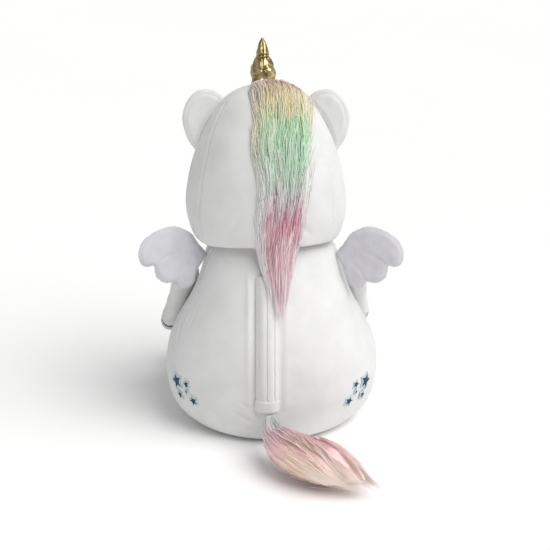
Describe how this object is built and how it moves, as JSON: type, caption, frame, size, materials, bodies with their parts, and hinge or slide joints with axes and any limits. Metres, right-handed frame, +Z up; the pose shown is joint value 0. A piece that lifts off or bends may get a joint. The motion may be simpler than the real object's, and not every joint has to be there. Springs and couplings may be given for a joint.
{
  "type": "plush unicorn",
  "caption": "Sitting stuffed unicorn with a soft horn, long-pile mane and tail, padded wings, jointed soft limbs and a concealed zip down its back.",
  "frame": {"origin": "centre of the flat seat panel that the toy sits on", "axes": "+Z up, -Y the way the face looks, +X the toy's own left"},
  "size_m": [0.2714, 0.3656, 0.3991],
  "materials": {
    "white_plush": "short white plush pile",
    "stuffing": "spun polyester in a cotton bag",
    "wing_satin": "brushed satin",
    "lining": "pink velour",
    "gold": "gold foil cloth",
    "mane_fur": "long pile, dyed pink, yellow, mint and rose",
    "tail_fur": "long pile, dyed green, mauve, rose and peach",
    "star_thread": "embroidery thread",
    "zip_nylon": "nylon coil and woven tape",
    "zip_metal": "die cast, plated",
    "eye_plastic": "polished",
    "washer_plastic": "moulded"
  },
  "bodies": {
    "torso": {"body_back_left": "white_plush", "body_back_right": "white_plush", "body_front_left": "white_plush", "body_front_right": "white_plush", "seat_panel": "white_plush", "body_pod": "stuffing", "seat_bean_bag": "stuffing", "zip_tape_left": "zip_nylon", "zip_tape_right": "zip_nylon", "zip_chain_left": "zip_nylon", "zip_chain_right": "zip_nylon", "zip_stop_top": "zip_metal", "zip_stop_bottom": "zip_metal", "placket_left": "white_plush", "placket_right": "white_plush", "zip_garage": "white_plush", "hip_star_left_1": "star_thread", "hip_star_left_2": "star_thread", "hip_star_left_3": "star_thread", "hip_star_left_4": "star_thread", "hip_star_left_5": "star_thread", "hip_star_right_1": "star_thread", "hip_star_right_2": "star_thread", "hip_star_right_3": "star_thread", "hip_star_right_4": "star_thread", "hip_star_right_5": "star_thread"},
    "slider": {"zip_slider": "zip_metal"},
    "pull_tab": {"zip_pull_tab": "zip_metal"},
    "neck": {"neck_gusset": "white_plush"},
    "head": {"head_back_left": "white_plush", "head_back_right": "white_plush", "head_side_left": "white_plush", "head_side_right": "white_plush", "face_panel": "white_plush", "muzzle": "white_plush", "head_pod": "stuffing", "mane": "mane_fur", "horn_cone": "gold", "horn_thread": "gold", "eye_left": "eye_plastic", "eye_right": "eye_plastic", "eye_washer_left": "washer_plastic", "eye_washer_right": "washer_plastic"},
    "ear_left": {"ear_left_back": "white_plush", "ear_left_lining": "lining"},
    "wing_left": {"wing_left": "wing_satin"},
    "arm_left": {"arm_left": "white_plush", "arm_left_hoof": "wing_satin"},
    "leg_left": {"leg_left": "white_plush", "leg_left_hoof": "lining"},
    "ear_right": {"ear_right_back": "white_plush", "ear_right_lining": "lining"},
    "wing_right": {"wing_right": "wing_satin"},
    "arm_right": {"arm_right": "white_plush", "arm_right_hoof": "wing_satin"},
    "leg_right": {"leg_right": "white_plush", "leg_right_hoof": "lining"},
    "tail_base": {"tail_root": "tail_fur"},
    "tail": {"tail_hair": "tail_fur"}
  },
  "joints": [
    {"name": "slider_travel", "type": "hinge", "parent": "torso", "child": "slider", "pos_m": [0.004, -0.106, 0.075], "axis": [1, 0, 0], "range_deg": [0, 31]},
    {"name": "pull_tab_flip", "type": "hinge", "parent": "slider", "child": "pull_tab", "pos_m": [0.004, 0.09724, 0.05866], "axis": [-1, 0, 0], "range_deg": [0, 110]},
    {"name": "head_turn", "type": "hinge", "parent": "torso", "child": "neck", "pos_m": [0, 0, 0.13], "axis": [0, 0, 1], "range_deg": [-15, 15], "stiffness_Nm_per_rad": 2},
    {"name": "head_nod", "type": "hinge", "parent": "neck", "child": "head", "pos_m": [0, 0, 0.13], "axis": [1, 0, 0], "range_deg": [-4, 6.5], "stiffness_Nm_per_rad": 8},
    {"name": "ear_left_bend", "type": "hinge", "parent": "head", "child": "ear_left", "pos_m": [0.06736, 0, 0.32092], "axis": [0.46, 0, -0.8879], "range_deg": [-30, 30], "stiffness_Nm_per_rad": 0.05},
    {"name": "ear_right_bend", "type": "hinge", "parent": "head", "child": "ear_right", "pos_m": [-0.05736, 0, 0.32092], "axis": [0.46, 0, 0.8879], "range_deg": [-30, 30], "stiffness_Nm_per_rad": 0.05},
    {"name": "wing_left_flap", "type": "hinge", "parent": "torso", "child": "wing_left", "pos_m": [0.06899, 0.014, 0.185], "axis": [0, 0, 1], "range_deg": [-12, 40], "stiffness_Nm_per_rad": 0.08},
    {"name": "wing_right_flap", "type": "hinge", "parent": "torso", "child": "wing_right", "pos_m": [-0.06899, 0.014, 0.185], "axis": [0, 0, -1], "range_deg": [-12, 40], "stiffness_Nm_per_rad": 0.08},
    {"name": "arm_left_swing", "type": "hinge", "parent": "torso", "child": "arm_left", "pos_m": [0.0909, -0.02496, 0.14742], "axis": [-0.876, 0.2667, -0.4018], "range_deg": [-5, 60], "stiffness_Nm_per_rad": 0.6},
    {"name": "arm_right_swing", "type": "hinge", "parent": "torso", "child": "arm_right", "pos_m": [-0.08766, -0.03391, 0.14736], "axis": [-0.8433, -0.3618, 0.3974], "range_deg": [-5, 60], "stiffness_Nm_per_rad": 0.6},
    {"name": "leg_left_lift", "type": "hinge", "parent": "torso", "child": "leg_left", "pos_m": [0.07248, -0.10274, 0.0275], "axis": [-1, 0, 0], "range_deg": [0, 30], "stiffness_Nm_per_rad": 0.8},
    {"name": "leg_right_lift", "type": "hinge", "parent": "torso", "child": "leg_right", "pos_m": [-0.07248, -0.10274, 0.0275], "axis": [-1, 0, 0], "range_deg": [0, 30], "stiffness_Nm_per_rad": 0.8},
    {"name": "tail_swing", "type": "hinge", "parent": "torso", "child": "tail_base", "pos_m": [0, 0.09754, 0.033], "axis": [0, 0, 1], "range_deg": [-30, 30]},
    {"name": "tail_lift", "type": "hinge", "parent": "tail_base", "child": "tail", "pos_m": [0, 0.11854, 0.033], "axis": [1, 0, 0], "range_deg": [0, 45]}
  ]
}
